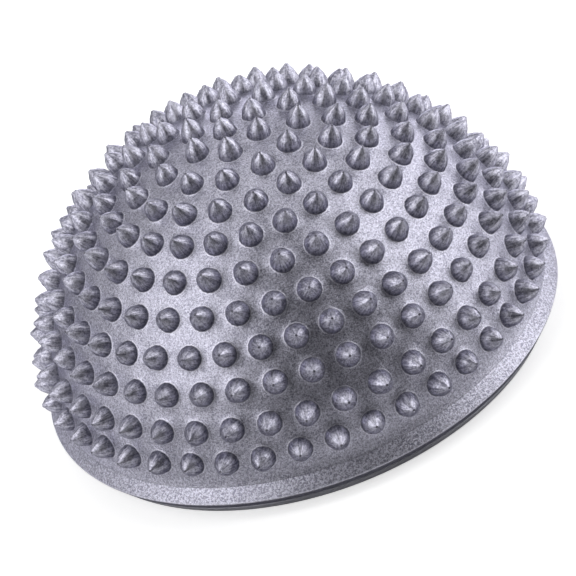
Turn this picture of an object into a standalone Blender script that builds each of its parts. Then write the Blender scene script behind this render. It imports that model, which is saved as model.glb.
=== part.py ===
"""Spiky balance pod: an air-filled half dome with moulded spikes, a base disc and a valve.

World frame: +Z up, metres. The origin is the centre of the underside, on the floor.
Driving sizes are in millimetres, and each finished mesh is scaled to metres.
"""
from math import acos, asin, atan2, cos, pi, radians, sin

import bmesh
import bpy
from mathutils import Vector
from mathutils.geometry import delaunay_2d_cdt

MM = 0.001
GAP = 0.3                    # clearance between neighbouring pieces
SEGMENTS = 60                # facets round the pod
VALVE_SEGMENTS = 24          # facets round the collar and the plug
SHARP_ANGLE = radians(35.0)  # edges sharper than this stay crisp in the smooth shading
MERGE_DISTANCE = 1e-7        # in the flattened skin, whose unit is the dome's radius

# The dome: a part of a sphere that stands on a chamfered rim
DOME_RADIUS = 76.6
DOME_CENTRE_Z = 2.8
WALL = 3.0
CREASE_RADIUS = 76.9         # where the dome flares into the rim's upper chamfer
CREASE_Z = 9.8
RIM_RADIUS = 80.0            # widest edge of the pod
RIM_Z = 5.9
FOOT_RADIUS = 75.7           # the rim's lower chamfer ends here, on the floor
SEAM_Z = 3.2                 # the dome moulding ends here and the base disc begins
LAND_RADIUS = 71.5           # inner edge of the ring on which the base disc is welded
LAND_TOP_Z = 8.5
INNER_START = radians(11.0)  # latitude where the even wall starts above the thick rim
INNER_RINGS = 6

# The spikes: one on the top, and ten rings round it
SPIKE_HEIGHT = 5.6
SPIKE_RADIUS = 3.6
SPIKE_SIDES = 8
SPIKE_SHOULDER_HEIGHT = 0.6  # share of the spike's height
SPIKE_SHOULDER_WIDTH = 0.73  # share of its base radius
# Each ring's angle from the top, its number of spikes, and the azimuth of one of them, in degrees
RINGS = ((8.1, 6, 26.5), (16.1, 12, 18.3), (23.8, 18, 12.3), (31.3, 24, 9.8), (39.2, 28, 2.5),
         (47.2, 33, 3.7), (55.3, 37, 5.7), (63.2, 39, 1.4), (71.5, 41, 1.3), (78.9, 43, 1.1))

# The base disc
BASE_THICKNESS = 3.0
RECESS_Z = 1.0               # the middle of the underside stands this far off the floor
RECESS_RADIUS = 58.0
RECESS_SLOPE = 1.0           # how far the recess's wall leans in
GROOVE_RADII = (69.5, 64.0)  # middle of each grip groove in the foot ring
GROOVE_WIDTH = 2.0
GROOVE_DEPTH = 0.7
SPIGOT_WALL = 2.5
SPIGOT_TOP_Z = 7.5
BOSS_BORE = 7.7
BOSS_RADIUS = 11.5
BOSS_TOP_Z = 10.0
BOSS_TAPER = 0.5
COUNTERBORE_RADIUS = 9.9
COUNTERBORE_TOP_Z = 2.2
COUNTERBORE_CHAMFER = 0.5

# The valve: a collar that snaps into the base's boss, and a plug pushed into the collar
COLLAR_BOTTOM_Z = 0.6
COLLAR_BARB = 1.2            # how far the snap lip reaches past the collar's body
COLLAR_LIP_HEIGHT = 1.3
COLLAR_LIP_TAPER = 0.8
EDGE_CHAMFER = 0.3           # on the collar's flange and the plug's head
PLUG_BORE = 2.8
PLUG_SEAT_RADIUS = 5.6
PLUG_SEAT_Z = 2.0
PLUG_BOTTOM_Z = 0.5
PLUG_PLAY = 0.4              # between the plug and the collar's seat and bore
PLUG_DISH_RADIUS = 1.7       # dimple in the head
PLUG_DISH_DEPTH = 0.5
PLUG_RIB_RADIUS = 2.62
PLUG_RIB_PITCH = 3.0
PLUG_RIB_REACH = 0.5         # half of a rib's length along the shank
PLUG_RIBS = 2
PLUG_TIP_Z = 12.2
PLUG_LEAD_IN = 1.5           # length of the tapered end
PLUG_TIP_SHARE = 0.6         # the end's radius as a share of the shank's
NOTCH_RADIUS = 2.2           # fingernail notch beside the plug's head
NOTCH_X = 6.2
NOTCH_TOP_Z = 1.5

SILVER = (0.42, 0.42, 0.47)
DARK_SILVER = (0.26, 0.26, 0.30)
COLLAR_GREY = (0.09, 0.09, 0.10)
PLUG_GREY = (0.04, 0.04, 0.045)


def clear_scene():
    """Remove every object that the scene starts with."""
    for item in list(bpy.data.objects):
        bpy.data.objects.remove(item, do_unlink=True)


def make_material(name, colour, roughness, metallic):
    """Principled material in one plain colour."""
    material = bpy.data.materials.new(name)
    material.use_nodes = True
    shader = material.node_tree.nodes["Principled BSDF"]
    shader.inputs["Base Color"].default_value = (*colour, 1.0)
    shader.inputs["Roughness"].default_value = roughness
    shader.inputs["Metallic"].default_value = metallic
    return material


def add_object(name, bm, material, origin_z=0.0):
    """Turn a bmesh in millimetres into an object whose origin is on the pod's axis."""
    bmesh.ops.recalc_face_normals(bm, faces=bm.faces[:])
    bmesh.ops.translate(bm, verts=bm.verts[:], vec=(0.0, 0.0, -origin_z))
    bmesh.ops.scale(bm, verts=bm.verts[:], vec=(MM, MM, MM))
    mesh = bpy.data.meshes.new(name)
    bm.to_mesh(mesh)
    bm.free()
    mesh.materials.append(material)
    mesh.shade_smooth()
    mesh.set_sharp_from_angle(angle=SHARP_ANGLE)
    item = bpy.data.objects.new(name, mesh)
    item.location = (0.0, 0.0, origin_z * MM)
    bpy.context.scene.collection.objects.link(item)
    return item


def ring_of_vertices(bm, radius, height, count):
    """One closed ring of vertices round the pod's axis."""
    return [bm.verts.new((radius * cos(2.0 * pi * i / count), radius * sin(2.0 * pi * i / count), height))
            for i in range(count)]


def join_rings(bm, first, second):
    """Quads between two rings with the same count."""
    count = len(first)
    for i in range(count):
        j = (i + 1) % count
        bm.faces.new((first[i], first[j], second[j], second[i]))


def join_to_point(bm, ring, point):
    """Triangles from a ring to a single vertex."""
    count = len(ring)
    for i in range(count):
        bm.faces.new((ring[i], ring[(i + 1) % count], point))


def turned(profile, count):
    """Turn a closed (radius, height) outline round the axis; a radius of 0 is a pole."""
    bm = bmesh.new()
    rings = []
    for radius, height in profile:
        if radius == 0.0:
            rings.append(bm.verts.new((0.0, 0.0, height)))
        else:
            rings.append(ring_of_vertices(bm, radius, height, count))
    for first, second in zip(rings, rings[1:] + rings[:1]):
        if isinstance(first, list) and isinstance(second, list):
            join_rings(bm, first, second)
        elif isinstance(first, list):
            join_to_point(bm, first, second)
        elif isinstance(second, list):
            join_to_point(bm, second, first)
    return bm


def rim_radius_at(height):
    """Radius of the rim's lower chamfer at a height."""
    return FOOT_RADIUS + (RIM_RADIUS - FOOT_RADIUS) * height / RIM_Z


def dome_point(direction, radius=DOME_RADIUS):
    """Point on the dome's sphere, or on one about the same centre."""
    return Vector((0.0, 0.0, DOME_CENTRE_Z)) + direction * radius


def flattened(direction):
    """Plane coordinates of a direction: distance from the pole along the sphere, and azimuth."""
    distance = acos(max(-1.0, min(1.0, direction.z)))
    azimuth = atan2(direction.y, direction.x)
    return Vector((distance * cos(azimuth), distance * sin(azimuth)))


def spike_directions():
    """Unit vectors from the dome's centre through each spike."""
    directions = [Vector((0.0, 0.0, 1.0))]
    for angle, count, start in RINGS:
        from_top = radians(angle)
        for i in range(count):
            azimuth = radians(start) + 2.0 * pi * i / count
            directions.append(Vector((sin(from_top) * cos(azimuth),
                                      sin(from_top) * sin(azimuth),
                                      cos(from_top))))
    return directions


def spike_frame(direction):
    """Two unit vectors square to a spike."""
    east = Vector((-direction.y, direction.x, 0.0)).normalized()
    if east.length == 0.0:
        east = Vector((0.0, 1.0, 0.0))
    return east, direction.cross(east)


def spike_base(direction):
    """Directions of the vertices where a spike meets the dome."""
    east, north = spike_frame(direction)
    spread = asin(SPIKE_RADIUS / DOME_RADIUS)
    base = []
    for i in range(SPIKE_SIDES):
        turn = 2.0 * pi * i / SPIKE_SIDES
        side = east * cos(turn) + north * sin(turn)
        base.append(direction * cos(spread) + side * sin(spread))
    return base


def add_spike(bm, direction, base):
    """Walls of one spike: upright at the base, drawn in to a small point."""
    east, north = spike_frame(direction)
    centre = dome_point(direction, DOME_RADIUS + SPIKE_HEIGHT * SPIKE_SHOULDER_HEIGHT)
    shoulder = []
    for i in range(SPIKE_SIDES):
        turn = 2.0 * pi * i / SPIKE_SIDES
        side = east * cos(turn) + north * sin(turn)
        shoulder.append(bm.verts.new(centre + side * SPIKE_RADIUS * SPIKE_SHOULDER_WIDTH))
    join_rings(bm, base, shoulder)
    join_to_point(bm, shoulder, bm.verts.new(dome_point(direction, DOME_RADIUS + SPIKE_HEIGHT)))


def add_spiked_skin(bm, crease):
    """The dome's outer face: the spikes, and the skin between their base loops.

    The skin is a constrained triangulation, made flat and wrapped back on the sphere, so that
    every spike shares its base loop with the skin and the moulding is one body.
    """
    directions = spike_directions()
    loops = [spike_base(direction) for direction in directions]
    corners = [point for loop in loops for point in loop]
    centre = Vector((0.0, 0.0, DOME_CENTRE_Z))
    outline = [(vertex.co - centre).normalized() for vertex in crease]
    flat = [flattened(point) for point in corners + outline]
    edges = []
    for loop in range(len(loops)):
        first = loop * SPIKE_SIDES
        edges += [(first + i, first + (i + 1) % SPIKE_SIDES) for i in range(SPIKE_SIDES)]
    first = len(corners)
    edges += [(first + i, first + (i + 1) % SEGMENTS) for i in range(SEGMENTS)]
    _, _, triangles, sources, _, _ = delaunay_2d_cdt(flat, edges, [], 0, MERGE_DISTANCE)

    vertices = [bm.verts.new(dome_point(point)) for point in corners] + list(crease)
    owner = [sources[i][0] for i in range(len(sources))]
    for triangle in triangles:
        spikes = {owner[i] // SPIKE_SIDES for i in triangle}
        on_one_spike = len(spikes) == 1 and max(owner[i] for i in triangle) < len(corners)
        if not on_one_spike:
            bm.faces.new([vertices[owner[i]] for i in triangle])
    for number, direction in enumerate(directions):
        first = number * SPIKE_SIDES
        add_spike(bm, direction, vertices[first:first + SPIKE_SIDES])


def add_dome_shell(material):
    """Dome, spikes and rim in one moulding, hollow and open below."""
    bm = bmesh.new()
    crease = ring_of_vertices(bm, CREASE_RADIUS, CREASE_Z, SEGMENTS)
    add_spiked_skin(bm, crease)

    inner_radius = DOME_RADIUS - WALL
    outline = [(RIM_RADIUS, RIM_Z), (rim_radius_at(SEAM_Z), SEAM_Z),
               (LAND_RADIUS, SEAM_Z), (LAND_RADIUS, LAND_TOP_Z)]
    for i in range(INNER_RINGS):
        latitude = INNER_START + (pi / 2.0 - INNER_START) * i / INNER_RINGS
        outline.append((inner_radius * cos(latitude), DOME_CENTRE_Z + inner_radius * sin(latitude)))
    previous = crease
    for radius, height in outline:
        ring = ring_of_vertices(bm, radius, height, SEGMENTS)
        join_rings(bm, previous, ring)
        previous = ring
    join_to_point(bm, previous, bm.verts.new((0.0, 0.0, DOME_CENTRE_Z + inner_radius)))
    add_object("dome_shell", bm, material)


def add_base_disc(material):
    """Disc welded under the rim: grip grooves below, a locating spigot and a valve boss above."""
    top = RECESS_Z + BASE_THICKNESS
    edge_top = SEAM_Z - GAP
    spigot = LAND_RADIUS - GAP
    profile = [(BOSS_BORE, COUNTERBORE_TOP_Z), (BOSS_BORE, BOSS_TOP_Z),
               (BOSS_RADIUS - BOSS_TAPER, BOSS_TOP_Z), (BOSS_RADIUS, top),
               (spigot - SPIGOT_WALL, top), (spigot - SPIGOT_WALL, SPIGOT_TOP_Z),
               (spigot, SPIGOT_TOP_Z), (spigot, edge_top),
               (rim_radius_at(edge_top), edge_top), (FOOT_RADIUS, 0.0)]
    for radius in GROOVE_RADII:
        outer = radius + GROOVE_WIDTH / 2.0
        inner = radius - GROOVE_WIDTH / 2.0
        profile += [(outer, 0.0), (outer, GROOVE_DEPTH), (inner, GROOVE_DEPTH), (inner, 0.0)]
    profile += [(RECESS_RADIUS, 0.0), (RECESS_RADIUS - RECESS_SLOPE, RECESS_Z),
                (COUNTERBORE_RADIUS + COUNTERBORE_CHAMFER, RECESS_Z),
                (COUNTERBORE_RADIUS, RECESS_Z + COUNTERBORE_CHAMFER),
                (COUNTERBORE_RADIUS, COUNTERBORE_TOP_Z)]
    add_object("base_disc", turned(profile, SEGMENTS), material)


def add_valve_collar(material):
    """Soft collar snapped into the boss, with the plug's seat and a fingernail notch."""
    body = BOSS_BORE - GAP
    flange = COUNTERBORE_RADIUS - GAP
    flange_top = COUNTERBORE_TOP_Z - GAP
    lip = BOSS_TOP_Z + GAP
    profile = [(PLUG_BORE, PLUG_SEAT_Z), (PLUG_BORE, lip + COLLAR_LIP_HEIGHT),
               (body - COLLAR_LIP_TAPER, lip + COLLAR_LIP_HEIGHT), (body + COLLAR_BARB, lip), (body, lip),
               (body, flange_top), (flange, flange_top), (flange, COLLAR_BOTTOM_Z + EDGE_CHAMFER),
               (flange - EDGE_CHAMFER, COLLAR_BOTTOM_Z),
               (PLUG_SEAT_RADIUS + EDGE_CHAMFER, COLLAR_BOTTOM_Z),
               (PLUG_SEAT_RADIUS, COLLAR_BOTTOM_Z + EDGE_CHAMFER), (PLUG_SEAT_RADIUS, PLUG_SEAT_Z)]
    collar = add_object("valve_collar", turned(profile, VALVE_SEGMENTS), material)

    notch = [(0.0, 0.0), (NOTCH_RADIUS, 0.0), (NOTCH_RADIUS, NOTCH_TOP_Z), (0.0, NOTCH_TOP_Z)]
    cutter = add_object("notch_cutter", turned(notch, VALVE_SEGMENTS // 2), material)
    cutter.location = (NOTCH_X * MM, 0.0, 0.0)
    cutter.hide_render = True
    cutter.display_type = "WIRE"
    cut = collar.modifiers.new("fingernail notch", "BOOLEAN")
    cut.operation = "DIFFERENCE"
    cut.solver = "EXACT"
    cut.object = cutter


def add_valve_plug(material):
    """Stopper with a dimpled head, a ribbed shank and a tapered end."""
    head = PLUG_SEAT_RADIUS - PLUG_PLAY
    head_top = PLUG_SEAT_Z - GAP
    shank = PLUG_BORE - PLUG_PLAY
    dish_top = PLUG_BOTTOM_Z + PLUG_DISH_DEPTH
    profile = [(0.0, dish_top), (PLUG_DISH_RADIUS - PLUG_DISH_DEPTH, dish_top),
               (PLUG_DISH_RADIUS, PLUG_BOTTOM_Z), (head - EDGE_CHAMFER, PLUG_BOTTOM_Z),
               (head, PLUG_BOTTOM_Z + EDGE_CHAMFER), (head, head_top), (shank, head_top)]
    for i in range(PLUG_RIBS):
        middle = head_top + (i + 1) * PLUG_RIB_PITCH
        profile += [(shank, middle - PLUG_RIB_REACH), (PLUG_RIB_RADIUS, middle),
                    (shank, middle + PLUG_RIB_REACH)]
    profile += [(shank, PLUG_TIP_Z - PLUG_LEAD_IN), (shank * PLUG_TIP_SHARE, PLUG_TIP_Z), (0.0, PLUG_TIP_Z)]
    add_object("valve_plug", turned(profile, VALVE_SEGMENTS), material, origin_z=PLUG_BOTTOM_Z)


def main():
    clear_scene()
    add_dome_shell(make_material("silver_pvc", SILVER, roughness=0.4, metallic=0.55))
    add_base_disc(make_material("base_pvc", DARK_SILVER, roughness=0.5, metallic=0.4))
    add_valve_collar(make_material("collar_rubber", COLLAR_GREY, roughness=0.6, metallic=0.0))
    add_valve_plug(make_material("plug_plastic", PLUG_GREY, roughness=0.45, metallic=0.0))


main()
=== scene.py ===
from math import acos, asin, atan2, cos, pi, radians, sin, sqrt

import bmesh
import bpy
from mathutils import Matrix, Vector
from mathutils.geometry import delaunay_2d_cdt
from mathutils.kdtree import KDTree


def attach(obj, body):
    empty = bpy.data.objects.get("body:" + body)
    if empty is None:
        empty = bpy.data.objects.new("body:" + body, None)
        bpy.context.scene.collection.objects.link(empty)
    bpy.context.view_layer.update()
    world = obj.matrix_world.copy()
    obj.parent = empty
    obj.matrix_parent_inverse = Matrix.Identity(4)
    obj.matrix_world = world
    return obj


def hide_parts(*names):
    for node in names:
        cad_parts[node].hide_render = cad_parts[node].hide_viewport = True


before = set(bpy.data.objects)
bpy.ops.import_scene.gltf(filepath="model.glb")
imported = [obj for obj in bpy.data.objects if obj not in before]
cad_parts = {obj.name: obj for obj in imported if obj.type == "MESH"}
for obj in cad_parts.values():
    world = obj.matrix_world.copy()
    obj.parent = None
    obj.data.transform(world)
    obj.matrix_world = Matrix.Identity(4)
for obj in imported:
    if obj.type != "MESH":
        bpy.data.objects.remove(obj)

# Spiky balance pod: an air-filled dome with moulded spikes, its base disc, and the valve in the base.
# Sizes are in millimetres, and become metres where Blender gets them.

MM = 0.001
TURN = 2.0 * pi
GAP = 0.3                    # clearance between neighbouring pieces
POD_SEGMENTS = 240           # facets round the dome and the base disc
VALVE_SEGMENTS = 72          # facets round the collar and the plug
CORNER_STEPS = 3             # facets in each rounded corner of a turned piece
SHARP_ANGLE = radians(32.0)  # an edge that turns more is shaded as a crisp one
NEAR = 0.01                  # points closer than this are one point

# The dome
DOME_RADIUS = 76.6
DOME_CENTRE = Vector((0.0, 0.0, 2.8))
WALL = 3.0
CREASE_RADIUS = 76.9         # where the dome flares into the rim
CREASE_Z = 9.8
RIM_RADIUS = 80.0            # widest edge of the pod
RIM_Z = 5.9
FOOT_RADIUS = 75.7           # the rim's lower chamfer ends here, on the floor
SEAM_Z = 3.2                 # joint between the dome moulding and the base disc
LAND_RADIUS = 71.5           # inner edge of the ring on which the base disc is welded
LAND_TOP_Z = 8.5
INNER_START = radians(11.0)  # latitude where the even wall starts above the thick rim
INNER_RINGS = 16
RIM_ROUNDING = 0.45
SEAM_ROUNDING = 0.3

# The spikes
SPIKE_HEIGHT = 5.8
SPIKE_RADIUS = 3.6
SPIKE_SIDES = 14
SPIKE_ROWS = 5
ROW_CROWDING = 1.8           # 1 spreads the rows evenly, more crowds them towards the tip
SPIKE_BULGE = 2.0            # 1 is a straight cone, more is a fuller spike
SPIKE_CROWN = 0.8            # 1 is a sharp point, less is a rounder one
TIP_RADIUS = 0.45            # the tip is a small ring round a pit left by trapped air
TIP_PIT = 0.3
PAST_TIP = 1.1               # row 0 is the foot, row 1 the tip's ring, and the pit's bottom lies past it
PIT_MARK = 0.25              # added to the pit's share of the height, so that the finish knows the pit
FILLET_WIDTH = 0.5           # the skin swells a little towards the foot of each spike
FILLET_RISE = 0.18
FOOT_SPHERE = DOME_RADIUS + FILLET_RISE
SPIKE_LEAN = 0.55            # how far a tip may stray to any side
LEAN_SEED = 7
UPRIGHT = 0.999              # a direction with more Z than this has no east of its own
THINNEST = 1e-6              # keeps the division by a cone's radius off zero
# Each ring's angle from the top, its number of spikes, and the azimuth of one of them, in degrees
RINGS = ((8.1, 6, 26.5), (16.1, 12, 18.3), (23.8, 18, 12.3), (31.3, 24, 9.8), (39.2, 28, 2.5),
         (47.2, 33, 3.7), (55.3, 37, 5.7), (63.2, 39, 1.4), (71.5, 41, 1.3), (78.9, 43, 1.1))

# The skin between the spikes
SKIN_PITCH = 2.3             # spacing of the skin's own points
SKIN_CLEARANCE = 0.7         # kept between those points and a spike's fillet
WHOLE_HULL = 0               # the triangulation fills everything inside the crease
SAME_POINT = 1e-7            # and joins points that are closer than this angle

# The base disc
BASE_THICKNESS = 3.0
RECESS_Z = 1.0
RECESS_RADIUS = 58.0
RECESS_SLOPE = 1.0
GROOVE_RADII = (69.5, 64.0)
GROOVE_WIDTH = 2.0
GROOVE_DEPTH = 0.7
SPIGOT_WALL = 2.5
SPIGOT_TOP_Z = 7.5
BOSS_BORE = 7.7
BOSS_RADIUS = 11.5
BOSS_TAPER = 0.5
BOSS_TOP_Z = 10.0
COUNTERBORE_RADIUS = 9.9
COUNTERBORE_TOP_Z = 2.2
COUNTERBORE_CHAMFER = 0.5

# The valve
COLLAR_BOTTOM_Z = 0.6
COLLAR_BARB = 1.2
COLLAR_TAPER = 0.8
COLLAR_LIP_HEIGHT = 1.3
PLUG_CLEARANCE = 0.4
PLUG_BORE = 2.8
PLUG_SEAT_RADIUS = 5.6
PLUG_SEAT_Z = 2.0
PLUG_BOTTOM_Z = 0.5
PLUG_DISH_RADIUS = 1.2       # flat bottom of the dish in the plug's head
PLUG_DISH_RIM = 1.7
PLUG_DISH_DEPTH = 0.5
PLUG_RIB_RADIUS = 2.62
PLUG_RIB_PITCH = 3.0
PLUG_RIB_HALF = 0.5          # half of a rib's width
PLUG_RIBS = 2
PLUG_TIP_Z = 12.2
PLUG_TIP_LENGTH = 1.5
PLUG_TIP_SHARE = 0.6         # the tip's flat end, as a share of the shank's radius
NOTCH_RADIUS = 2.2
NOTCH_X = 6.2
NOTCH_START_Z = -1.0         # well below the collar
NOTCH_TOP_Z = 1.5

# Numbers of the Mix node's colour sockets, which share their names with others
MIX_FIRST = 6
MIX_SECOND = 7
MIX_RESULT = 2

# Noise: its detail and its roughness
SMOOTH = (2.0, 0.55)
MOTTLED = (2.0, 0.6)
ROUGH = (3.0, 0.6)

# The silver PVC. Noise scales are per metre
SILVER_TINT = (0.34, 0.335, 0.40, 1.0)
SILVER_LOW = (0.234, 0.229, 0.298, 1.0)
SILVER_HIGH = (0.69, 0.683, 0.79, 1.0)
# Colour of the painted highlights round the spikes' feet and along the rim's edge, and of the rim's slightly
# lighter tone
SILVER_HIGHLIGHT = (0.89, 0.88, 0.98, 1.0)
# Colour of the painted shade at the spikes' feet, in the pits, along the crease and on the rim's edge wall
SILVER_SHADE = (0.08, 0.08, 0.10, 1.0)
SILVER_METALLIC = 0.88
SILVER_FINE = 3000.0
SILVER_COARSE = 1500.0
SILVER_MOTTLE = 1300.0
SILVER_CLOUD = 45.0
MARK_STRETCH = (6.5, 6.5, 1.6)  # close together round a spike, drawn out along it
MARK_SHIFT = 9.0                # sets one spike's marks apart from the next one's
# A value for the skin between the spikes, one for a spike and one for the rim
FINE_SHARE = (0.5, 0.5, 0.3)    # of the fine grain, the rest is the coarse one
GRAIN_CONTRAST = (2.1, 1.2, 2.9)
GRAIN_RELIEF = (1.0, 0.4, 1.6)
SILVER_ROUGHNESS = (0.38, 0.40, 0.42)
# Heights in millimetres from which a zone of the rim fades in, and at which it is whole
RIM_ZONE = (CREASE_Z + 0.05, CREASE_Z - 0.15)
CREASE_ZONE = (CREASE_Z + 0.35, CREASE_Z)
EDGE_ZONE = (RIM_Z + 0.45, RIM_Z + 0.15)
WALL_ZONE = (RIM_Z + 0.05, RIM_Z - 0.35)
SEAM_ZONE = (SEAM_Z + 0.5, SEAM_Z + 0.2)
# The same for distances from a spike's foot, and for shares of its height
FOOT_LINE = (0.25, 0.05)
SWELL_START = (0.1, 0.25)
SWELL_END = (0.48, 0.3)
SPIKE_START = (0.0, 0.05)
SPIKE_FOOT = (0.4, 0.0)
SPIKE_PIT = (1.0, 1.1)
# How strongly each cause lightens or darkens the silver
DRAWN_CONTRAST = 1.5
MOTTLE_CONTRAST = 1.2
CLOUD_CONTRAST = 0.15
SPIKE_CONTRAST = 0.04           # from spike to spike
SILVER_SPAN = 0.35              # shades from minus this to plus this run from the low colour to the high
# painted highlight on the swell round each spike's foot
SWELL_HIGHLIGHT = 0.45
# the whole rim a little lighter
RIM_TONE = 0.03
# painted highlight along the rim's widest edge
EDGE_HIGHLIGHT = 0.4
# painted shade at each spike's foot, on the spike and on the skin just beside it
FOOT_SHADE = 0.5
# painted shade in the pit at each tip
PIT_SHADE = 0.8
# painted shade on the rim's downward edge wall
WALL_SHADE = 0.65
SEAM_SHADE_CUT = 0.4                # taken off the edge wall's painted shade close to the joint
# painted shadow line along the crease between the dome and the rim
CREASE_SHADE = 0.3
GRAIN_ROUGHNESS = 0.3
DRAWN_RELIEF = 0.5
SILVER_BUMP = (0.9, 0.12)       # strength and depth in millimetres

# The base PVC
BASE_LOW = (0.25, 0.25, 0.285, 1.0)
BASE_HIGH = (0.46, 0.46, 0.51, 1.0)
BASE_SCUFF = (0.52, 0.52, 0.55, 1.0)
BASE_METALLIC = 0.6
BASE_FINE = 1100.0
BASE_COARSE = 480.0
BASE_CLOUD = 38.0
BASE_GRAIN_CONTRAST = 0.45
BASE_CLOUD_CONTRAST = 0.2
BASE_SPAN = 0.22
SCUFF_ZONE = (0.35, 0.02)       # heights, because only the foot is scuffed
SCUFF_CLOUD = (0.45, 0.65)      # and only here and there
SCUFF_WEAR = 0.4
SCUFF_ROUGHNESS = 0.12
BASE_ROUGHNESS = 0.48
BASE_BUMP = (0.45, 0.12)

# The camera looks along +Y, down on the pod, and is turned about its own line of sight
CAMERA_AIM = Vector((0.8, 0.0, 21.4))
CAMERA_DISTANCE = 1113.0
CAMERA_ELEVATION = radians(33.1)
CAMERA_ROLL = radians(21.06)
LENS = 232.75
SENSOR = 36.0

# The studio: softboxes at the left, at the right and behind the pod
LIT_POINT = Vector((0.0, 0.0, 30.0))
SOFTBOX_DISTANCE = 1000.0
SOFTBOX_SIZE = 500.0
# Each softbox's azimuth and elevation in degrees, and its power in watts
SOFTBOXES = (
    ("left low", 180.0, 10.0, 0.5),
    ("left front low", 205.0, 10.0, 0.4),
    ("left", 194.0, 26.0, 0.8),
    ("left front", 217.0, 25.0, 1.5),
    ("left front upper", 225.0, 46.0, 0.8),
    ("left back upper", 175.0, 46.0, 1.3),
    ("left back", 150.0, 20.0, 0.3),
    ("left top", 190.0, 66.0, 1.3),
    ("right low", 350.0, 6.0, 2.4),
    ("right front", 330.0, 15.0, 0.4),
    ("right front upper", 346.0, 43.0, 2.2),
    ("right back", 24.0, 26.0, 1.6),
    ("right back low", 30.0, 3.0, 1.0),
    ("right top", 10.0, 66.0, 0.9),
    ("back right low", 60.0, 3.0, 1.7),
    ("back right", 50.0, 20.0, 0.8),
    ("back low", 90.0, 3.0, 1.9),
    ("back", 80.0, 15.0, 0.8),
    ("back upper", 105.0, 45.0, 0.5),
    ("back top", 90.0, 66.0, 1.0))
WHITE = (1.0, 1.0, 1.0, 1.0)
BLACK = (0.0, 0.0, 0.0, 1.0)

# The floor
FLOOR_REACH = 4000.0         # from its middle to each side
FLOOR_DROP = 0.1             # it lies a hair below the pod's foot
FLOOR_ROUGHNESS = 0.9
FLOOR_PALE = (0.75, 0.75, 0.75, 1.0)
FLOOR_DULL = (0.25, 0.25, 0.25, 1.0)
PALE_RADIUS = 120.0          # the floor is pale round the pod
DULL_RADIUS = 260.0          # and dull from here on
LIT_RADIUS = 400.0           # beyond it the lamps light the floor less
UNLIT_RADIUS = 1500.0        # and beyond this one hardly at all
SHADE_RADIUS = 100.0         # the floor close round the pod lies in its shade
FLOOR_GLOW = 0.58            # what makes the lit, pale floor white for the camera
DULL_GLOW = 0.28             # added where the floor is dull
UNLIT_GLOW = 0.14            # added where the lamps don't light it
# A stretch of floor at the left behind the pod that reflections hardly see, by its compass directions
DIM_LEFT = (-0.95, -0.7)
DIM_RIGHT = (-0.4, -0.7)
DIM_FRONT = (0.0, 0.3)
DIMMED = 0.9

# The room
ROOM = 0.03                  # brightness of the room behind the softboxes
# The white backdrop that reflections see, by its compass directions and its height
BACKDROP_FRONT = (0.0, 0.1)
BACKDROP_LEFT = (-0.87, -0.5)
BACKDROP_RIGHT = (0.5, 0.0)
BACKDROP_TOP = (0.55, 0.2)


# Shader and geometry nodes

class Wire:
    """Output of a node that can stand in a Python expression. Each operator adds a Math node."""

    def __init__(self, board, socket):
        self.board = board
        self.socket = socket

    def __add__(self, other):
        return self.board.math("ADD", self, other)

    def __radd__(self, other):
        return self.board.math("ADD", other, self)

    def __sub__(self, other):
        return self.board.math("SUBTRACT", self, other)

    def __rsub__(self, other):
        return self.board.math("SUBTRACT", other, self)

    def __mul__(self, other):
        if self.socket.type == "VECTOR":
            return self.board.node("ShaderNodeVectorMath", {"operation": "SCALE"}, {0: self, "Scale": other})
        return self.board.math("MULTIPLY", self, other)

    def __rmul__(self, other):
        return self.board.math("MULTIPLY", other, self)

    def __truediv__(self, other):
        return self.board.math("DIVIDE", self, other)

    def __rtruediv__(self, other):
        return self.board.math("DIVIDE", other, self)

    def __pow__(self, other):
        return self.board.math("POWER", self, other)


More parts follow.
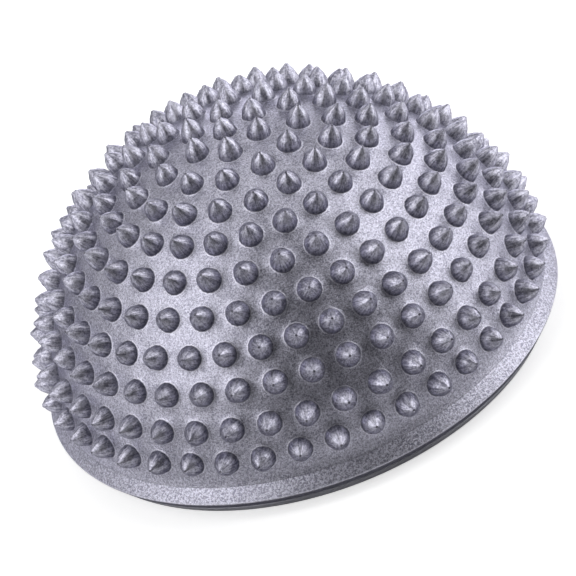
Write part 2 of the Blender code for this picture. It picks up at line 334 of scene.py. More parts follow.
class Board:
    """A node tree, and the one way in which nodes are added to it."""

    def __init__(self, tree):
        self.tree = tree

    def node(self, kind, settings=None, sockets=None, output=0):
        """Add a node: its settings first, then a value or a wire for each named socket."""
        made = self.tree.nodes.new(kind)
        for name, value in (settings or {}).items():
            setattr(made, name, value)
        for name, value in (sockets or {}).items():
            self.plug_in(made.inputs[name], value)
        return Wire(self, made.outputs[output]) if made.outputs else None

    def plug_in(self, socket, value):
        """Link a wire, or several for a socket that takes them, or set a plain value."""
        if isinstance(value, Wire):
            self.tree.links.new(value.socket, socket)
        elif isinstance(value, list):
            for wire in value:
                self.tree.links.new(wire.socket, socket)
        else:
            socket.default_value = value

    def math(self, operation, *values):
        return self.node("ShaderNodeMath", {"operation": operation}, dict(enumerate(values)))

    def vector_math(self, operation, *values, output=0):
        return self.node("ShaderNodeVectorMath", {"operation": operation}, dict(enumerate(values)), output)

    def part(self, vector, axis):
        """One of a vector's three numbers."""
        return self.node("ShaderNodeSeparateXYZ", {}, {"Vector": vector}, axis)

    def place(self, kind="Object"):
        """Where a shaded point lies on its object, or which way a ray of the world goes."""
        return self.node("ShaderNodeTexCoord", {}, {}, kind)

    def attribute(self, name, output):
        """A shader's view of what a mesh has stored."""
        return self.node("ShaderNodeAttribute", {"attribute_name": name}, {}, output)

    def stored(self, name, kind="FLOAT_VECTOR"):
        """What the geometry has stored, inside geometry nodes."""
        return self.node("GeometryNodeInputNamedAttribute", {"data_type": kind}, {"Name": name})

    def store(self, name, geometry, value, domain="POINT"):
        """Keep a number or a vector on the geometry under a name."""
        kind = "FLOAT_VECTOR" if value.socket.type == "VECTOR" else "FLOAT"
        return self.node("GeometryNodeStoreNamedAttribute", {"data_type": kind, "domain": domain},
                         {"Geometry": geometry, "Name": name, "Value": value})

    def blend(self, share, first, second):
        """Colour between two colours."""
        return self.node("ShaderNodeMix", {"data_type": "RGBA"},
                         {"Factor": share, MIX_FIRST: first, MIX_SECOND: second}, MIX_RESULT)

    def ease(self, value, low, high):
        """Smooth step from 0, where the value is low, to 1, where it is high."""
        return self.node("ShaderNodeMapRange", {"interpolation_type": "SMOOTHSTEP"},
                         {"Value": value, "From Min": low, "From Max": high})

    def ease_mm(self, value, low, high):
        """The same between two sizes in millimetres."""
        return self.ease(value, low * MM, high * MM)

    def grain(self, place, scale, texture=SMOOTH):
        """Even noise about 0.5."""
        detail, roughness = texture
        return self.node("ShaderNodeTexNoise", {},
                         {"Vector": place, "Scale": scale, "Detail": detail, "Roughness": roughness}, "Fac")

    def bump(self, height, strength, depth):
        """Normal of a relief whose depth is in millimetres."""
        return self.node("ShaderNodeBump", {},
                         {"Height": height, "Strength": strength, "Distance": depth * MM})


def start_finish(name, **constants):
    """New material. The constants go on the shader's own sockets."""
    material = bpy.data.materials.new(name)
    material.use_nodes = True
    board = Board(material.node_tree)
    shader = material.node_tree.nodes["Principled BSDF"]
    for socket, value in constants.items():
        shader.inputs[socket.replace("_", " ")].default_value = value
    return material, board, shader


def dress(board, shader, colour, roughness, normal):
    """Plug in what varies over the surface."""
    board.plug_in(shader.inputs["Base Color"], colour)
    board.plug_in(shader.inputs["Roughness"], roughness)
    board.plug_in(shader.inputs["Normal"], normal)


def silver_pvc():
    """Soft PVC with silver pigment: blasted grain on the skin and the rim, drawn marks up the spikes,
    painted highlights round the spikes' feet and along the rim's edge, and painted shade at the spikes'
    feet, in their pits, along the crease and on the edge wall.
    """
    material, board, shader = start_finish("silver PVC", Metallic=SILVER_METALLIC, Specular_Tint=SILVER_TINT)
    place = board.place()
    height = board.part(place, "Z")
    flank = board.attribute("flank", "Vector")
    own = board.attribute("own", "Vector")
    reach = board.attribute("reach", "Fac")
    share = board.part(flank, "Z")

    # The zones
    on_rim = board.ease_mm(height, *RIM_ZONE)
    crease = board.ease_mm(height, *CREASE_ZONE) * (1.0 - on_rim)
    edge = board.ease_mm(height, *EDGE_ZONE)
    wall = board.ease_mm(height, *WALL_ZONE)
    seam = board.ease_mm(height, *SEAM_ZONE)
    on_spike = board.ease(share, *SPIKE_START)
    foot = board.ease(share, *SPIKE_FOOT) * on_spike
    in_pit = board.ease(share, *SPIKE_PIT)
    at_foot = board.ease_mm(reach, *FOOT_LINE) * (1.0 - on_spike)
    swell = board.ease_mm(reach, *SWELL_START) * board.ease_mm(reach, *SWELL_END)

    def zoned(values):
        """A value of the skin that changes on the spikes and on the rim."""
        skin, spike, rim = values
        return skin + (spike - skin) * on_spike + (rim - skin) * on_rim

    # The grain, and the marks on the spikes
    fine_share = zoned(FINE_SHARE)
    fine = board.grain(place, SILVER_FINE)
    coarse = board.grain(place, SILVER_COARSE, ROUGH)
    speckle = fine * fine_share + coarse * (1.0 - fine_share) - 0.5
    cloud = board.grain(place, SILVER_CLOUD) - 0.5
    mottle = board.grain(place, SILVER_MOTTLE, MOTTLED) - 0.5
    stretched = board.vector_math("MULTIPLY_ADD", flank, MARK_STRETCH, own * MARK_SHIFT)
    drawn = board.grain(stretched, 1.0, ROUGH)
    marks = (drawn - 0.5) * DRAWN_CONTRAST + mottle * MOTTLE_CONTRAST

    shade = speckle * zoned(GRAIN_CONTRAST) + cloud * CLOUD_CONTRAST + marks * on_spike
    shade = shade + board.part(own, "Z") * SPIKE_CONTRAST
    silver = board.blend(board.ease(shade, -SILVER_SPAN, SILVER_SPAN), SILVER_LOW, SILVER_HIGH)
    # Painted highlights on the swell round each spike's foot and along the rim's widest edge, and the whole
    # rim a little lighter
    highlight_and_rim_tone = swell * SWELL_HIGHLIGHT + on_rim * RIM_TONE + edge * (1.0 - wall) * EDGE_HIGHLIGHT
    highlighted = board.blend(highlight_and_rim_tone, silver, SILVER_HIGHLIGHT)
    # Painted shade at the spikes' feet and beside them, in the tip pits, on the rim's downward edge wall and
    # along the crease
    painted_shade = board.math("MAXIMUM", board.math("MAXIMUM", foot, at_foot) * FOOT_SHADE, in_pit * PIT_SHADE)
    painted_shade = painted_shade + wall * (WALL_SHADE - seam * SEAM_SHADE_CUT) + crease * CREASE_SHADE
    colour = board.blend(painted_shade, highlighted, SILVER_SHADE)

    roughness = zoned(SILVER_ROUGHNESS) + speckle * GRAIN_ROUGHNESS
    relief = speckle * zoned(GRAIN_RELIEF) + drawn * on_spike * DRAWN_RELIEF
    dress(board, shader, colour, roughness, board.bump(relief, *SILVER_BUMP))
    return material


def base_pvc():
    """The same PVC, duller, with the flow marks and the scuffs of a moulded underside."""
    material, board, shader = start_finish("base PVC", Metallic=BASE_METALLIC)
    place = board.place()
    speckle = (board.grain(place, BASE_FINE) + board.grain(place, BASE_COARSE, ROUGH)) * 0.5 - 0.5
    cloud = board.grain(place, BASE_CLOUD)
    scuffed = board.ease_mm(board.part(place, "Z"), *SCUFF_ZONE) * board.ease(cloud, *SCUFF_CLOUD)
    shade = speckle * BASE_GRAIN_CONTRAST + (cloud - 0.5) * BASE_CLOUD_CONTRAST
    grey = board.blend(board.ease(shade, -BASE_SPAN, BASE_SPAN), BASE_LOW, BASE_HIGH)
    colour = board.blend(scuffed * SCUFF_WEAR, grey, BASE_SCUFF)
    roughness = BASE_ROUGHNESS + speckle * GRAIN_ROUGHNESS + scuffed * SCUFF_ROUGHNESS
    dress(board, shader, colour, roughness, board.bump(speckle, *BASE_BUMP))
    return material


def two_tone(name, fine, broad, fine_share, span, low, high, bump):
    """Dark finish with a fine texture and a broad bloom.

    low and high are the colour and the roughness where the bloom is faint and where it is strong.
    """
    material, board, shader = start_finish(name, Metallic=0.0)
    place = board.place()
    texture = board.grain(place, fine)
    bloom = board.grain(place, broad, ROUGH)
    level = board.ease(bloom * (1.0 - fine_share) + texture * fine_share, *span)
    roughness = low[1] + level * (high[1] - low[1])
    dress(board, shader, board.blend(level, low[0], high[0]), roughness, board.bump(texture, *bump))
    return material


def collar_rubber():
    """Soft dark grey rubber with a matt bloom."""
    return two_tone("collar rubber", fine=1500.0, broad=160.0, fine_share=0.3, span=(0.35, 0.65),
                    low=((0.055, 0.055, 0.062, 1.0), 0.55), high=((0.10, 0.10, 0.11, 1.0), 0.75),
                    bump=(0.3, 0.05))


def plug_plastic():
    """Hard dark plastic with a fine satin texture, rubbed here and there."""
    return two_tone("plug plastic", fine=2200.0, broad=220.0, fine_share=0.0, span=(0.38, 0.66),
                    low=((0.022, 0.022, 0.026, 1.0), 0.34), high=((0.045, 0.045, 0.05, 1.0), 0.52),
                    bump=(0.25, 0.04))


# Meshes

def new_object(name, data):
    """Object in the scene, at the origin."""
    made = bpy.data.objects.new(name, data)
    bpy.context.scene.collection.objects.link(made)
    return made


def make_piece(name, bm, finish):
    """Object at the origin from a bmesh in millimetres, with its faces outwards."""
    bmesh.ops.recalc_face_normals(bm, faces=bm.faces[:])
    bmesh.ops.scale(bm, verts=bm.verts[:], vec=(MM, MM, MM))
    mesh = bpy.data.meshes.new(name)
    bm.to_mesh(mesh)
    bm.free()
    mesh.materials.append(finish)
    mesh.shade_smooth()
    mesh.set_sharp_from_angle(angle=SHARP_ANGLE)
    return new_object(name, mesh)


def apply_modifiers(piece):
    """Swap a piece's mesh for the result of its modifiers, and remove them."""
    graph = bpy.context.evaluated_depsgraph_get()
    result = bpy.data.meshes.new_from_object(piece.evaluated_get(graph))
    before = piece.data
    finish = before.materials[0]
    piece.modifiers.clear()
    piece.data = result
    bpy.data.meshes.remove(before)
    result.name = piece.name
    result.materials.clear()
    result.materials.append(finish)


def discard(helper):
    """Remove an object that only helped to make a piece."""
    mesh = helper.data
    bpy.data.objects.remove(helper)
    bpy.data.meshes.remove(mesh)


def settle(piece, node, body):
    """Hide the CAD node that a finished piece replaces, and attach the piece to what it moves with."""
    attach(piece, body)
    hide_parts(node)


def ring_of_vertices(bm, radius, height, count):
    """One closed ring of vertices round the pod's axis."""
    return [bm.verts.new((radius * cos(TURN * i / count), radius * sin(TURN * i / count), height))
            for i in range(count)]


def join_rings(bm, first, second):
    """Quads between two rings with the same count."""
    count = len(first)
    for i in range(count):
        j = (i + 1) % count
        bm.faces.new((first[i], first[j], second[j], second[i]))


def join_to_point(bm, ring, point):
    """Triangles from a ring to a single vertex."""
    count = len(ring)
    for i in range(count):
        bm.faces.new((ring[i], ring[(i + 1) % count], point))


def arc_cosine(value):
    """Arc cosine of a number that rounding may have left just outside -1 to 1."""
    return acos(max(-1.0, min(1.0, value)))


def rounded(outline):
    """Points of a closed outline in which each rounded corner is a short arc.

    The outline lists its corners, each by its radius, its height and its rounding.
    """
    points = []
    count = len(outline)
    for i in range(count):
        here = Vector(outline[i][:2])
        rounding = outline[i][2]
        if rounding == 0.0:
            points.append(tuple(here))
            continue
        to_last = (Vector(outline[i - 1][:2]) - here).normalized()
        to_next = (Vector(outline[(i + 1) % count][:2]) - here).normalized()
        half = arc_cosine(to_last.dot(to_next)) / 2.0
        reach = rounding / sin(half) * cos(half)
        start = here + to_last * reach
        end = here + to_next * reach
        centre = here + (to_last + to_next).normalized() * (rounding / sin(half))
        for step in range(CORNER_STEPS + 1):
            share = step / CORNER_STEPS
            spoke = (start.lerp(end, share) - centre).normalized()
            points.append(tuple(centre + spoke * rounding))
    return points


def turned(points, count):
    """Turn a closed outline of (radius, height) points round the axis; a radius of 0 is a pole."""
    bm = bmesh.new()
    rings = []
    for radius, height in points:
        if radius == 0.0:
            rings.append(bm.verts.new((0.0, 0.0, height)))
        else:
            rings.append(ring_of_vertices(bm, radius, height, count))
    for first, second in zip(rings, rings[1:] + rings[:1]):
        if isinstance(first, list) and isinstance(second, list):
            join_rings(bm, first, second)
        elif isinstance(first, list):
            join_to_point(bm, first, second)
        elif isinstance(second, list):
            join_to_point(bm, second, first)
    return bm


def rim_radius_at(height):
    """Radius of the rim's lower chamfer at a height."""
    return FOOT_RADIUS + (RIM_RADIUS - FOOT_RADIUS) * height / RIM_Z


# The dome and its spikes

def flattened(direction):
    """Plane coordinates of a direction: distance from the pole along the sphere, and azimuth."""
    distance = arc_cosine(direction.z)
    azimuth = atan2(direction.y, direction.x)
    return Vector((distance * cos(azimuth), distance * sin(azimuth)))


def from_pole(distance, azimuth):
    """Direction at an angle from the pole."""
    return Vector((sin(distance) * cos(azimuth), sin(distance) * sin(azimuth), cos(distance)))


def spike_directions():
    """Unit vectors from the dome's centre through each spike."""
    directions = [Vector((0.0, 0.0, 1.0))]
    for angle, count, start in RINGS:
        directions += [from_pole(radians(angle), radians(start) + TURN * i / count) for i in range(count)]
    return directions


def spike_stance(direction):
    """Turn that stands a spike on the dome, as a matrix with the columns east, north and out."""
    if direction.z > UPRIGHT:
        east = Vector((0.0, 1.0, 0.0))
    else:
        east = Vector((0.0, 0.0, 1.0)).cross(direction).normalized()
    return Matrix((east, direction.cross(east), direction)).transposed()


def spike_loop(direction, radius, sphere):
    """Vertices round a spike, on a sphere about the dome's centre."""
    stance = spike_stance(direction)
    spread = asin(radius / sphere)
    return [DOME_CENTRE + stance @ from_pole(spread, TURN * i / SPIKE_SIDES) * sphere
            for i in range(SPIKE_SIDES)]


def skin_filling(directions, crease_distance):
    """Evenly spread points of the skin, clear of the spikes and of the crease."""
    spikes = KDTree(len(directions))
    for number, direction in enumerate(directions):
        spikes.insert(direction, number)
    spikes.balance()
    reach = (SPIKE_RADIUS + FILLET_WIDTH + SKIN_CLEARANCE) / DOME_RADIUS
    rows = round(crease_distance * DOME_RADIUS / SKIN_PITCH)
    filling = []
    for row in range(1, rows):
        distance = crease_distance * row / rows
        count = round(TURN * DOME_RADIUS * sin(distance) / SKIN_PITCH)
        shift = 0.5 * (row % 2)  # every other row lies half a step on
        for i in range(count):
            direction = from_pole(distance, TURN * (i + shift) / count)
            if spikes.find(direction)[2] > reach:
                filling.append(DOME_CENTRE + direction * DOME_RADIUS)
    return filling


def add_skin(bm, directions, crease):
    """The dome's outer face with a hole under every spike.

    It is a constrained triangulation, made flat and wrapped back on the sphere.
    """
    feet = []
    loops = []
    for direction in directions:
        feet += spike_loop(direction, SPIKE_RADIUS, FOOT_SPHERE)
        loops += spike_loop(direction, SPIKE_RADIUS + FILLET_WIDTH, DOME_RADIUS)
    crease_distance = acos((crease[0].co - DOME_CENTRE).normalized().z)
    points = feet + loops + skin_filling(directions, crease_distance)
    vertices = [bm.verts.new(point) for point in points] + crease
    flat = [flattened((vertex.co - DOME_CENTRE).normalized()) for vertex in vertices]

    edges = []
    for first in range(0, len(feet) + len(loops), SPIKE_SIDES):
        edges += [(first + i, first + (i + 1) % SPIKE_SIDES) for i in range(SPIKE_SIDES)]
    edges += [(len(points) + i, len(points) + (i + 1) % len(crease)) for i in range(len(crease))]
    _, _, triangles, sources, _, _ = delaunay_2d_cdt(flat, edges, [], WHOLE_HULL, SAME_POINT)
    for triangle in triangles:
        corners = [sources[i][0] for i in triangle]
        under_a_spike = max(corners) < len(feet) and len({i // SPIKE_SIDES for i in corners}) == 1
        if not under_a_spike:
            bm.faces.new([vertices[i] for i in corners])


def dome_skin(finish, directions):
    """Dome without its spikes: outer skin, rim, weld land and even inner wall."""
    bm = bmesh.new()
    crease = ring_of_vertices(bm, CREASE_RADIUS, CREASE_Z, POD_SEGMENTS)
    add_skin(bm, directions, crease)

    corners = [(CREASE_RADIUS, CREASE_Z, 0.0),
               (RIM_RADIUS, RIM_Z, RIM_ROUNDING),
               (rim_radius_at(SEAM_Z), SEAM_Z, SEAM_ROUNDING),
               (LAND_RADIUS, SEAM_Z, SEAM_ROUNDING),
               (LAND_RADIUS, LAND_TOP_Z, 0.0)]
    outline = rounded(corners)[1:]
    inner = DOME_RADIUS - WALL
    for i in range(INNER_RINGS):
        latitude = INNER_START + (pi / 2.0 - INNER_START) * i / INNER_RINGS
        outline.append((inner * cos(latitude), DOME_CENTRE.z + inner * sin(latitude)))
    previous = crease
    for radius, height in outline:
        ring = ring_of_vertices(bm, radius, height, POD_SEGMENTS)
        join_rings(bm, previous, ring)
        previous = ring
    join_to_point(bm, previous, bm.verts.new(DOME_CENTRE + Vector((0.0, 0.0, inner))))
    return make_piece("dome_moulding", bm, finish)


def spike_seats(directions):
    """A point in the middle of each spike's base, with the turn that stands the spike up."""
    depth = sqrt(FOOT_SPHERE ** 2 - SPIKE_RADIUS ** 2)
    mesh = bpy.data.meshes.new("spike seats")
    mesh.from_pydata([(DOME_CENTRE + direction * depth) * MM for direction in directions], [], [])
    stance = mesh.attributes.new("stance", "QUATERNION", "POINT")
    for item, direction in zip(stance.data, directions):
        item.value = spike_stance(direction).to_quaternion()
    return new_object("spike seats", mesh)


def spike_tree():
    """Geometry nodes that weld a spike to the skin at every seat."""
    tree = bpy.data.node_groups.new("moulded spikes", "GeometryNodeTree")
    inputs = {"Geometry": ("Skin",), "Object": ("Seats",), "Int": ("Sides", "Rows", "Seed"),
              "Float": ("Height", "Radius", "Crowding", "Bulge", "Crown", "Tip Radius", "Tip Pit", "Lean",
                        "Weld Distance"),
              "Material": ("Finish",)}
    for kind, names in inputs.items():
        for name in names:
            tree.interface.new_socket(name=name, in_out="INPUT", socket_type="NodeSocket" + kind)
    tree.interface.new_socket(name="Dome", in_out="OUTPUT", socket_type="NodeSocketGeometry")
    board = Board(tree)
    given = tree.nodes.new("NodeGroupInput")

    def asked(name):
        return Wire(board, given.outputs[name])

    # One spike: a cone whose rows are moved to the spike's outline, with its point pushed in as a pit
    cone = board.node("GeometryNodeMeshCone", {"fill_type": "NONE"},
                      {"Vertices": asked("Sides"), "Side Segments": asked("Rows"), "Radius Top": 0.0,
                       "Radius Bottom": asked("Radius"), "Depth": asked("Height")})
    place = board.node("GeometryNodeInputPosition")
    up = board.part(place, "Z") / asked("Height")
    row = up * asked("Rows") / (asked("Rows") - 1.0)
    left = board.math("MAXIMUM", 1.0 - row, 0.0)
    share = 1.0 - left ** asked("Crowding")
    in_pit = board.math("GREATER_THAN", row, PAST_TIP)
    flat = board.vector_math("MULTIPLY", place, (1.0, 1.0, 0.0))
    around = board.vector_math("NORMALIZE", flat)
    along = board.node("ShaderNodeCombineXYZ", {}, {"Z": share + in_pit * PIT_MARK})
    marked = board.store("rise", cone, board.vector_math("ADD", around, along))
    outline = asked("Radius") * (1.0 - share ** asked("Bulge")) ** asked("Crown")
    width = board.math("MAXIMUM", outline, asked("Tip Radius"))
    squeeze = width / board.math("MAXIMUM", asked("Radius") * (1.0 - up), THINNEST)
    height = asked("Height") * share - asked("Tip Pit") * in_pit
    raised = board.node("ShaderNodeCombineXYZ", {}, {"Z": height})
    shaped = board.node("GeometryNodeSetPosition", {},
                        {"Geometry": marked, "Position": board.vector_math("ADD", flat * squeeze, raised)})

    # A spike on every seat, each leaning its own way
    seats = board.node("GeometryNodeObjectInfo", {}, {"Object": asked("Seats")}, "Geometry")
    stance = board.stored("stance", "QUATERNION")
    spikes = board.node("GeometryNodeInstanceOnPoints", {},
                        {"Points": seats, "Instance": shaped, "Rotation": stance})
    any_way = board.node("FunctionNodeRandomValue", {"data_type": "FLOAT_VECTOR"},
                         {"Min": (-1.0, -1.0, -1.0), "Max": (1.0, 1.0, 1.0), "Seed": asked("Seed")})
    swayed = board.store("stray", spikes, any_way, "INSTANCE")
    loose = board.node("GeometryNodeRealizeInstances", {}, {"Geometry": swayed})
    rise = board.stored("rise")
    stray = board.stored("stray")
    offset = stray * (board.part(rise, "Z") * asked("Lean"))
    leaning = board.node("GeometryNodeSetPosition", {}, {"Geometry": loose, "Offset": offset})
    with_flank = board.store("flank", leaning, rise, "CORNER")
    with_own = board.store("own", with_flank, stray, "FACE")

    # One moulding: the spikes' base loops weld to the skin's
    to_spike = board.node("GeometryNodeProximity", {"target_element": "POINTS"}, {0: seats}, "Distance")
    skin = board.store("reach", asked("Skin"), to_spike - asked("Radius"))
    joined = board.node("GeometryNodeJoinGeometry", {}, {"Geometry": [skin, with_own]})
    welded = board.node("GeometryNodeMergeByDistance", {},
                        {"Geometry": joined, "Distance": asked("Weld Distance")})
    whole = board.node("GeometryNodeRealizeInstances", {}, {"Geometry": welded})
    smooth = board.node("GeometryNodeSetShadeSmooth", {}, {"Geometry": whole})
    finished = board.node("GeometryNodeSetMaterial", {}, {"Geometry": smooth, "Material": asked("Finish")})
    board.node("NodeGroupOutput", {}, {"Dome": finished})
    return tree


def sharpen_crease(mesh):
    """Keep the line between the dome and the rim crisp."""
    crease = {vertex.index for vertex in mesh.vertices
              if abs(vertex.co.z - CREASE_Z * MM) < NEAR * MM
              and abs(vertex.co.xy.length - CREASE_RADIUS * MM) < NEAR * MM}
    for edge in mesh.edges:
        if crease.issuperset(edge.vertices):
            edge.use_edge_sharp = True


def dome_shell(finish):
    """Dome, spikes and rim in one moulding."""
    directions = spike_directions()
    shell = dome_skin(finish, directions)
    seats = spike_seats(directions)
    tree = spike_tree()
    modifier = shell.modifiers.new("moulded spikes", "NODES")
    modifier.node_group = tree
    values = {"Seats": seats, "Height": (SPIKE_HEIGHT - FILLET_RISE) * MM, "Radius": SPIKE_RADIUS * MM,
              "Sides": SPIKE_SIDES, "Rows": SPIKE_ROWS, "Crowding": ROW_CROWDING, "Bulge": SPIKE_BULGE,
              "Crown": SPIKE_CROWN, "Tip Radius": TIP_RADIUS * MM, "Tip Pit": TIP_PIT * MM,
              "Lean": SPIKE_LEAN * MM, "Seed": LEAN_SEED, "Weld Distance": NEAR * MM, "Finish": finish}
    for socket in tree.interface.items_tree:
        if socket.name in values:
            modifier[socket.identifier] = values[socket.name]
    apply_modifiers(shell)
    discard(seats)
    for name in ("stance", "rise", "stray"):
        if name in shell.data.attributes:
            shell.data.attributes.remove(shell.data.attributes[name])
    shell.data.set_sharp_from_angle(angle=SHARP_ANGLE)
    sharpen_crease(shell.data)
    settle(shell, "dome_shell", "pod")


# The base disc and the valve

def base_disc(finish):
    """Disc under the dome: foot ring with grip grooves, recess, spigot and valve boss."""
    top = RECESS_Z + BASE_THICKNESS
    edge_top = SEAM_Z - GAP
    spigot = LAND_RADIUS - GAP
    outline = [(BOSS_BORE, COUNTERBORE_TOP_Z, 0.2),
               (BOSS_BORE, BOSS_TOP_Z, 0.3),
               (BOSS_RADIUS - BOSS_TAPER, BOSS_TOP_Z, 0.5),
               (BOSS_RADIUS, top, 1.0),
               (spigot - SPIGOT_WALL, top, 0.8),
               (spigot - SPIGOT_WALL, SPIGOT_TOP_Z, 0.5),
               (spigot, SPIGOT_TOP_Z, 0.5),
               (spigot, edge_top, 0.2),
               (rim_radius_at(edge_top), edge_top, 0.3),
               (FOOT_RADIUS, 0.0, 0.4)]
    for radius in GROOVE_RADII:
        outer = radius + GROOVE_WIDTH / 2.0
        inner = radius - GROOVE_WIDTH / 2.0
        outline += [(outer, 0.0, 0.25),
                    (outer, GROOVE_DEPTH, 0.3),
                    (inner, GROOVE_DEPTH, 0.3),
                    (inner, 0.0, 0.25)]
    outline += [(RECESS_RADIUS, 0.0, 0.3),
                (RECESS_RADIUS - RECESS_SLOPE, RECESS_Z, 0.4),
                (COUNTERBORE_RADIUS + COUNTERBORE_CHAMFER, RECESS_Z, 0.2),
                (COUNTERBORE_RADIUS, RECESS_Z + COUNTERBORE_CHAMFER, 0.2),
                (COUNTERBORE_RADIUS, COUNTERBORE_TOP_Z, 0.2)]
    disc = make_piece("base_disc_moulding", turned(rounded(outline), POD_SEGMENTS), finish)
    settle(disc, "base_disc", "pod")


def valve_collar(finish):
    """Soft collar in the boss, with the plug's seat and a fingernail notch."""
    body = BOSS_BORE - GAP
    flange = COUNTERBORE_RADIUS - GAP
    flange_top = COUNTERBORE_TOP_Z - GAP
    barb = BOSS_TOP_Z + GAP
    lip = barb + COLLAR_LIP_HEIGHT
    outline = [(PLUG_BORE, PLUG_SEAT_Z, 0.2),
               (PLUG_BORE, lip, 0.3),
               (body - COLLAR_TAPER, lip, 0.4),
               (body + COLLAR_BARB, barb, 0.3),
               (body, barb, 0.1),
               (body, flange_top, 0.1),
               (flange, flange_top, 0.25),
               (flange, COLLAR_BOTTOM_Z, 0.35),
               (PLUG_SEAT_RADIUS, COLLAR_BOTTOM_Z, 0.35),
               (PLUG_SEAT_RADIUS, PLUG_SEAT_Z, 0.15)]
    collar = make_piece("valve_collar_rubber", turned(rounded(outline), VALVE_SEGMENTS), finish)

    drum = [(0.0, NOTCH_START_Z),
            (NOTCH_RADIUS, NOTCH_START_Z),
            (NOTCH_RADIUS, NOTCH_TOP_Z),
            (0.0, NOTCH_TOP_Z)]
    cutter = make_piece("notch cutter", turned(drum, VALVE_SEGMENTS // 2), finish)
    cutter.location = (NOTCH_X * MM, 0.0, 0.0)
    cut = collar.modifiers.new("fingernail notch", "BOOLEAN")
    cut.operation = "DIFFERENCE"
    cut.solver = "EXACT"
    cut.object = cutter
    apply_modifiers(collar)
    discard(cutter)
    collar.data.set_sharp_from_angle(angle=SHARP_ANGLE)
    settle(collar, "valve_collar", "pod")


def valve_plug(finish):
    """Stopper with a dished head, a ribbed shank and a rounded lead-in."""
    head = PLUG_SEAT_RADIUS - PLUG_CLEARANCE
    head_top = PLUG_SEAT_Z - GAP
    dish = PLUG_BOTTOM_Z + PLUG_DISH_DEPTH
    shank = PLUG_BORE - PLUG_CLEARANCE
    outline = [(0.0, dish, 0.0),
               (PLUG_DISH_RADIUS, dish, 0.3),
               (PLUG_DISH_RIM, PLUG_BOTTOM_Z, 0.2),
               (head, PLUG_BOTTOM_Z, 0.35),
               (head, head_top, 0.2),
               (shank, head_top, 0.25)]
    for i in range(PLUG_RIBS):
        middle = head_top + (i + 1) * PLUG_RIB_PITCH
        outline += [(shank, middle - PLUG_RIB_HALF, 0.1),
                    (PLUG_RIB_RADIUS, middle, 0.3),
                    (shank, middle + PLUG_RIB_HALF, 0.1)]
    outline += [(shank, PLUG_TIP_Z - PLUG_TIP_LENGTH, 0.5),
                (shank * PLUG_TIP_SHARE, PLUG_TIP_Z, 0.4),
                (0.0, PLUG_TIP_Z, 0.0)]
    plug = make_piece("valve_plug_stopper", turned(rounded(outline), VALVE_SEGMENTS), finish)
    settle(plug, "valve_plug", "plug")


# Studio

def backdrop_rays(board):
    """Rays that see the studio's white: 1 for the camera, and 1 for a reflection or a view through glass."""
    camera, glossy, through = [board.node("ShaderNodeLightPath", {}, {}, f"Is {kind} Ray")
                               for kind in ("Camera", "Glossy", "Transmission")]
    return camera, board.math("MAXIMUM", glossy, through)


def compass(board, place):
    """How far to the right and how far behind the pod a place or direction lies, each from -1 to 1."""
    level = board.vector_math("MULTIPLY", place, (1.0, 1.0, 0.0))
    heading = board.vector_math("NORMALIZE", level)
    return board.part(heading, "X"), board.part(heading, "Y")


def add_floor():
    """Pale floor that the camera sees as white, with the pod's shadow on it."""
    bm = bmesh.new()
    bmesh.ops.create_grid(bm, x_segments=1, y_segments=1, size=FLOOR_REACH)
    bmesh.ops.translate(bm, verts=bm.verts, vec=(0.0, 0.0, -FLOOR_DROP))
    material, board, shader = start_finish("studio floor", Roughness=FLOOR_ROUGHNESS, Emission_Strength=1.0)
    place = board.place()
    distance = board.vector_math("LENGTH", place, output="Value")
    dull = board.ease_mm(distance, PALE_RADIUS, DULL_RADIUS)
    unlit = board.ease_mm(distance, LIT_RADIUS, UNLIT_RADIUS)
    board.plug_in(shader.inputs["Base Color"], board.blend(dull, FLOOR_PALE, FLOOR_DULL))

    seen, mirrored = backdrop_rays(board)
    across, behind = compass(board, place)
    dim = board.ease(across, *DIM_LEFT) * board.ease(across, *DIM_RIGHT) * board.ease(behind, *DIM_FRONT)
    clear = board.ease_mm(distance, RIM_RADIUS, SHADE_RADIUS)
    clear = clear * board.ease_mm(board.part(place, "Y"), -RIM_RADIUS, 0.0)
    whiteness = FLOOR_GLOW + dull * DULL_GLOW + unlit * UNLIT_GLOW
    glow = whiteness * (seen + mirrored * clear * (1.0 - dim * DIMMED))
    board.plug_in(shader.inputs["Emission Color"], board.blend(glow, BLACK, WHITE))
    floor = make_piece("studio_floor", bm, material)


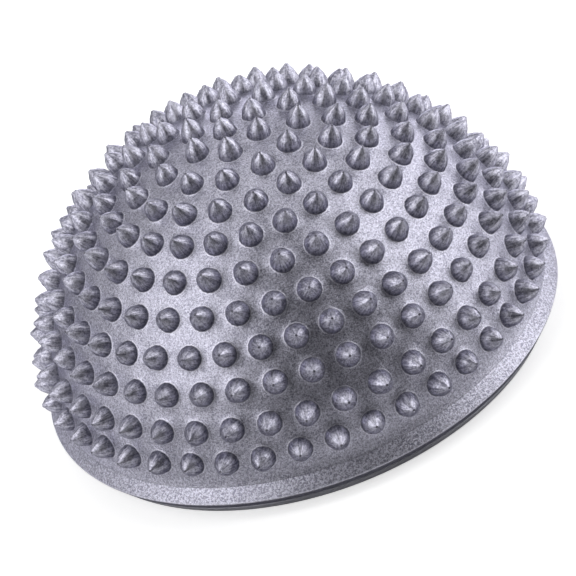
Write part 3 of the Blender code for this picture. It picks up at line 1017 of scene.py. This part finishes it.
def add_world():
    """White backdrop behind the pod, for the camera and for reflections, in an even dim room."""
    world = bpy.data.worlds.new("studio")
    world.use_nodes = True
    bpy.context.scene.world = world
    board = Board(world.node_tree)
    background = world.node_tree.nodes["Background"]
    seen, mirrored = backdrop_rays(board)
    direction = board.place("Generated")
    across, behind = compass(board, direction)
    backdrop = board.ease(behind, *BACKDROP_FRONT) * board.ease(board.part(direction, "Z"), *BACKDROP_TOP)
    backdrop = backdrop * board.ease(across, *BACKDROP_LEFT) * board.ease(across, *BACKDROP_RIGHT)
    white = board.math("MAXIMUM", seen, mirrored * backdrop)
    background.inputs["Color"].default_value = WHITE
    board.plug_in(background.inputs["Strength"], ROOM + (1.0 - ROOM) * white)


def add_softbox(name, azimuth, elevation, power):
    """Square area lamp that faces the pod."""
    light = bpy.data.lights.new(name, "AREA")
    light.size = SOFTBOX_SIZE * MM
    light.energy = power
    lamp = new_object(name, light)
    towards = from_pole(radians(90.0 - elevation), radians(azimuth))
    lamp.location = (LIT_POINT + towards * SOFTBOX_DISTANCE) * MM
    lamp.rotation_euler = towards.to_track_quat("Z", "Y").to_euler()


def add_camera():
    """Camera at the photograph's viewing angle."""
    data = bpy.data.cameras.new("camera")
    data.lens = LENS
    data.sensor_width = SENSOR
    turn = Matrix.Rotation(pi / 2.0 - CAMERA_ELEVATION, 4, "X") @ Matrix.Rotation(-CAMERA_ROLL, 4, "Z")
    back = Vector((0.0, -cos(CAMERA_ELEVATION), sin(CAMERA_ELEVATION)))
    camera = new_object("camera", data)
    camera.matrix_world = Matrix.Translation((CAMERA_AIM + back * CAMERA_DISTANCE) * MM) @ turn
    bpy.context.scene.camera = camera


def main():
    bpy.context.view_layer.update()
    dome_shell(silver_pvc())
    base_disc(base_pvc())
    valve_collar(collar_rubber())
    valve_plug(plug_plastic())
    add_floor()
    add_world()
    for name, azimuth, elevation, power in SOFTBOXES:
        add_softbox(name + " softbox", azimuth, elevation, power)
    add_camera()
    bpy.context.scene.view_settings.view_transform = "Standard"


main()
